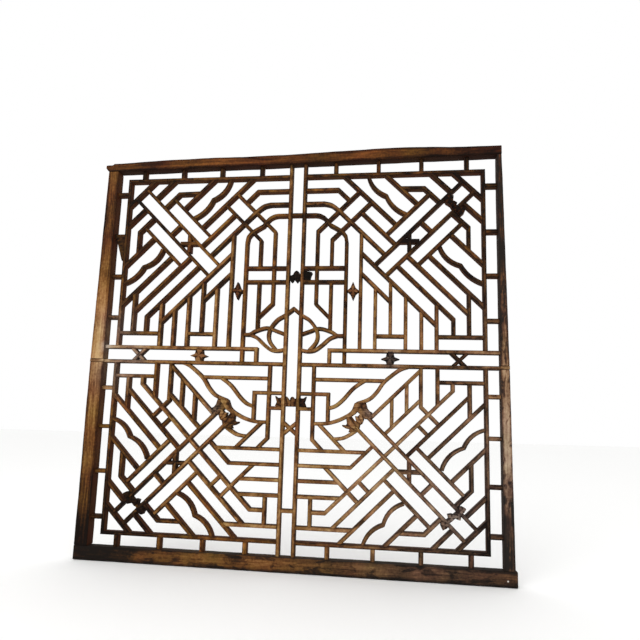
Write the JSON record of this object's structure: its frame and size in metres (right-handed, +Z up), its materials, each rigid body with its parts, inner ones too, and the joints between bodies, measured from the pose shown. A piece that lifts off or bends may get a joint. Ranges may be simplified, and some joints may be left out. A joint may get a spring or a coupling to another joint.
{
  "type": "lattice transom window",
  "caption": "Square wooden window for the head of a wall opening: plain frame filled with mortised fretwork of thin bars, small carved leaves and flowers.",
  "frame": {"origin": "middle of the underside of the bottom rail, the face that beds on the sill of the opening", "axes": "front of the window faces -Y, +X runs to the right seen from the front, +Z is up"},
  "size_m": [1.3724, 0.033, 1.3589],
  "materials": {
    "rail_wood": "old varnish, worn",
    "stile_wood": "bare, worn",
    "dark_bar": "soot-dark, matte",
    "pale_bar": "bare, matte",
    "carved_wood": "carved, matte"
  },
  "bodies": {
    "root": {"bottom_rail": "rail_wood", "top_rail": "rail_wood", "left_lower_stile": "stile_wood", "left_upper_stile": "stile_wood", "right_lower_stile": "stile_wood", "right_upper_stile": "stile_wood", "left_mullion": "dark_bar", "left_mid_bar": "pale_bar", "left_band_bar": "pale_bar", "right_mullion": "dark_bar", "right_mid_bar": "pale_bar", "right_band_bar": "pale_bar", "left_lower_ribbons": "pale_bar", "left_lower_through_bar": "pale_bar", "left_upper_ribbons": "dark_bar", "left_lower_border": "dark_bar", "left_upper_border": "dark_bar", "left_lower_outer_ribbon": "pale_bar", "left_lower_inner_ribbon": "pale_bar", "left_upper_inner_ribbon": "dark_bar", "left_upper_outer_ribbon": "dark_bar", "left_hanging_bars": "pale_bar", "left_hanging_scroll": "pale_bar", "left_rungs": "pale_bar", "left_standing_posts": "pale_bar", "left_arch": "dark_bar", "left_inner_vein": "dark_bar", "left_outer_vein": "dark_bar", "left_lotus": "pale_bar", "left_band_flower": "carved_wood", "left_band_cross": "pale_bar", "left_lozenge": "carved_wood", "right_lower_ribbons": "pale_bar", "right_lower_through_bar": "pale_bar", "right_upper_ribbons": "dark_bar", "right_lower_border": "dark_bar", "right_upper_border": "dark_bar", "right_lower_outer_ribbon": "pale_bar", "right_lower_inner_ribbon": "pale_bar", "right_upper_inner_ribbon": "dark_bar", "right_upper_outer_ribbon": "dark_bar", "right_hanging_bars": "pale_bar", "right_hanging_scroll": "pale_bar", "right_rungs": "pale_bar", "right_standing_posts": "pale_bar", "right_arch": "dark_bar", "right_inner_vein": "dark_bar", "right_outer_vein": "dark_bar", "right_lotus": "pale_bar", "right_band_flower": "carved_wood", "right_band_cross": "pale_bar", "right_lozenge": "carved_wood", "upper_carving": "carved_wood", "lower_carving": "carved_wood", "upper_tie": "dark_bar", "lower_tie": "pale_bar", "centre_cross": "pale_bar"}
  },
  "joints": []
}
